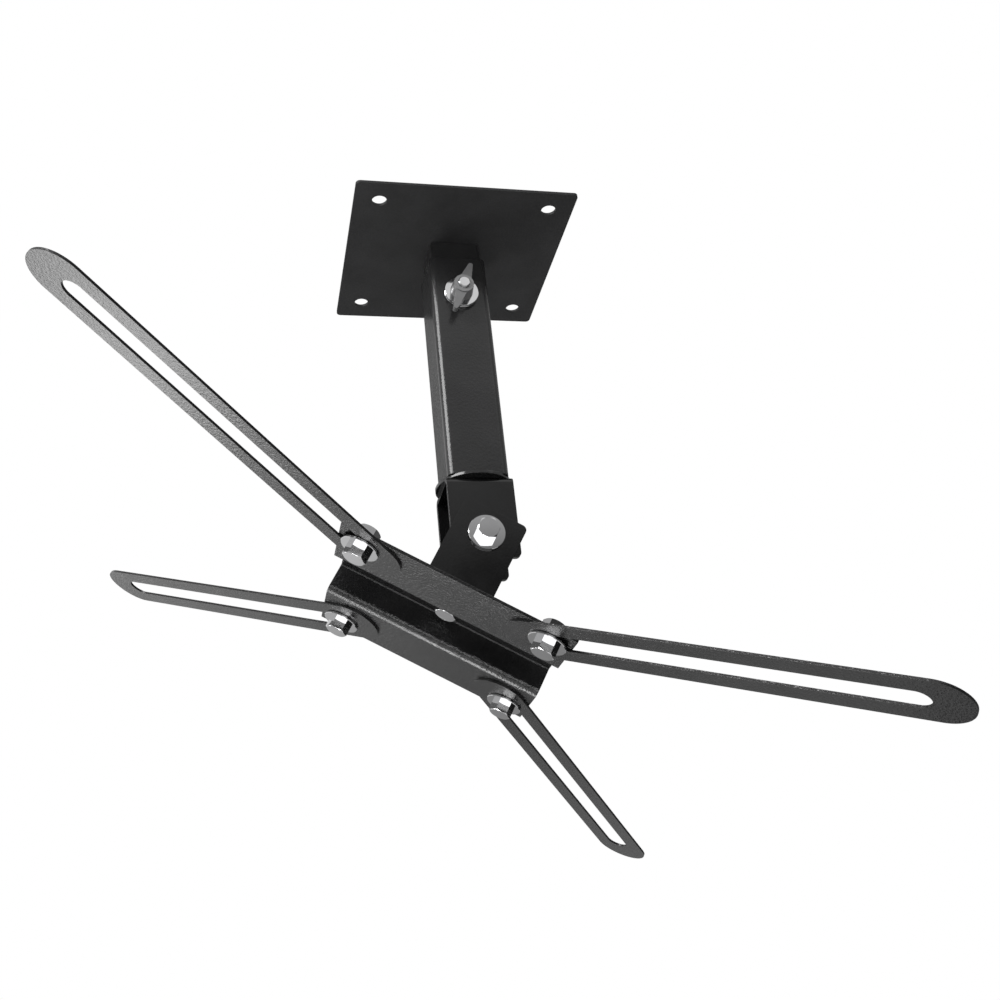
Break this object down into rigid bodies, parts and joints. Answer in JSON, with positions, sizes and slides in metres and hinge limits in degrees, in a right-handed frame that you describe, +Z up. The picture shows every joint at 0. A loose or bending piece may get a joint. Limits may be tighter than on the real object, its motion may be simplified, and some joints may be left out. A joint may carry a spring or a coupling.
{
  "type": "projector ceiling mount",
  "caption": "Ceiling mount for a projector: square plate, drop tube with a wing nut, swivel and tilt clevises, and a cross channel with slotted swing arms that slide in and out.",
  "frame": {"origin": "centre of the ceiling plate's upper face", "axes": "+Z up into the ceiling, -Y towards the wing nut, +X to the side that the head tilts down to"},
  "size_m": [0.4311, 0.4582, 0.4041],
  "materials": {
    "black_paint": "satin",
    "zinc": "polished"
  },
  "bodies": {
    "tube": {"ceiling_plate": "black_paint", "stub_tube": "black_paint", "drop_tube": "black_paint", "end_disc": "black_paint", "wing_bolt": "zinc", "wing_bolt_washers": "zinc"},
    "wing_nut": {"wing_nut": "zinc"},
    "swivel": {"upper_clevis": "black_paint", "swivel_bolt": "zinc", "swivel_washers": "zinc", "swivel_nut": "zinc"},
    "yoke": {"lower_clevis": "black_paint", "tilt_bolt": "zinc", "tilt_washers": "zinc", "tilt_nut": "zinc"},
    "channel": {"cross_channel": "black_paint", "centre_bolt": "zinc", "centre_washers": "zinc", "centre_nut": "zinc"},
    "near_left_pivot": {"near_left_bolt": "zinc", "near_left_washers": "zinc", "near_left_nut": "zinc"},
    "near_left_arm": {"near_left_arm": "black_paint"},
    "near_right_pivot": {"near_right_bolt": "zinc", "near_right_washers": "zinc", "near_right_nut": "zinc"},
    "near_right_arm": {"near_right_arm": "black_paint"},
    "far_left_pivot": {"far_left_bolt": "zinc", "far_left_washers": "zinc", "far_left_nut": "zinc"},
    "far_left_arm": {"far_left_arm": "black_paint"},
    "far_right_pivot": {"far_right_bolt": "zinc", "far_right_washers": "zinc", "far_right_nut": "zinc"},
    "far_right_arm": {"far_right_arm": "black_paint"}
  },
  "joints": [
    {"name": "wing_nut_turn", "type": "hinge", "parent": "tube", "child": "wing_nut", "pos_m": [0, -0.025, -0.0466], "axis": [0, 1, 0], "continuous": true},
    {"name": "swivel_turn", "type": "hinge", "parent": "tube", "child": "swivel", "pos_m": [0, 0, -0.187], "axis": [0, 0, 1], "continuous": true},
    {"name": "tilt", "type": "hinge", "parent": "swivel", "child": "yoke", "pos_m": [0, 0, -0.228], "axis": [0, 1, 0], "range_deg": [-90, 30]},
    {"name": "head_turn", "type": "hinge", "parent": "yoke", "child": "channel", "pos_m": [-0.021, 0, -0.26437], "axis": [0.5, 0, 0.866], "continuous": true},
    {"name": "near_left_swing", "type": "hinge", "parent": "channel", "child": "near_left_pivot", "pos_m": [-0.08238, -0.0594, -0.25168], "axis": [0.5, 0, 0.866], "range_deg": [-25, 45]},
    {"name": "near_left_slide", "type": "slide", "parent": "near_left_pivot", "child": "near_left_arm", "axis": [0.7103, 0.5721, -0.4101], "range_m": [0, 0.065]},
    {"name": "near_right_swing", "type": "hinge", "parent": "channel", "child": "near_right_pivot", "pos_m": [0.02068, -0.0594, -0.31118], "axis": [0.5, 0, 0.866], "range_deg": [-40, 30]},
    {"name": "near_right_slide", "type": "slide", "parent": "near_right_pivot", "child": "near_right_arm", "axis": [-0.6634, 0.6428, 0.383], "range_m": [0, 0.065]},
    {"name": "far_left_swing", "type": "hinge", "parent": "channel", "child": "far_left_pivot", "pos_m": [-0.08238, 0.0594, -0.25168], "axis": [0.5, 0, 0.866], "range_deg": [-40, 30]},
    {"name": "far_left_slide", "type": "slide", "parent": "far_left_pivot", "child": "far_left_arm", "axis": [0.6634, -0.6428, -0.383], "range_m": [0, 0.065]},
    {"name": "far_right_swing", "type": "hinge", "parent": "channel", "child": "far_right_pivot", "pos_m": [0.02068, 0.0594, -0.31118], "axis": [0.5, 0, 0.866], "range_deg": [-40, 30]},
    {"name": "far_right_slide", "type": "slide", "parent": "far_right_pivot", "child": "far_right_arm", "axis": [-0.559, -0.7638, 0.3227], "range_m": [0, 0.065]}
  ]
}
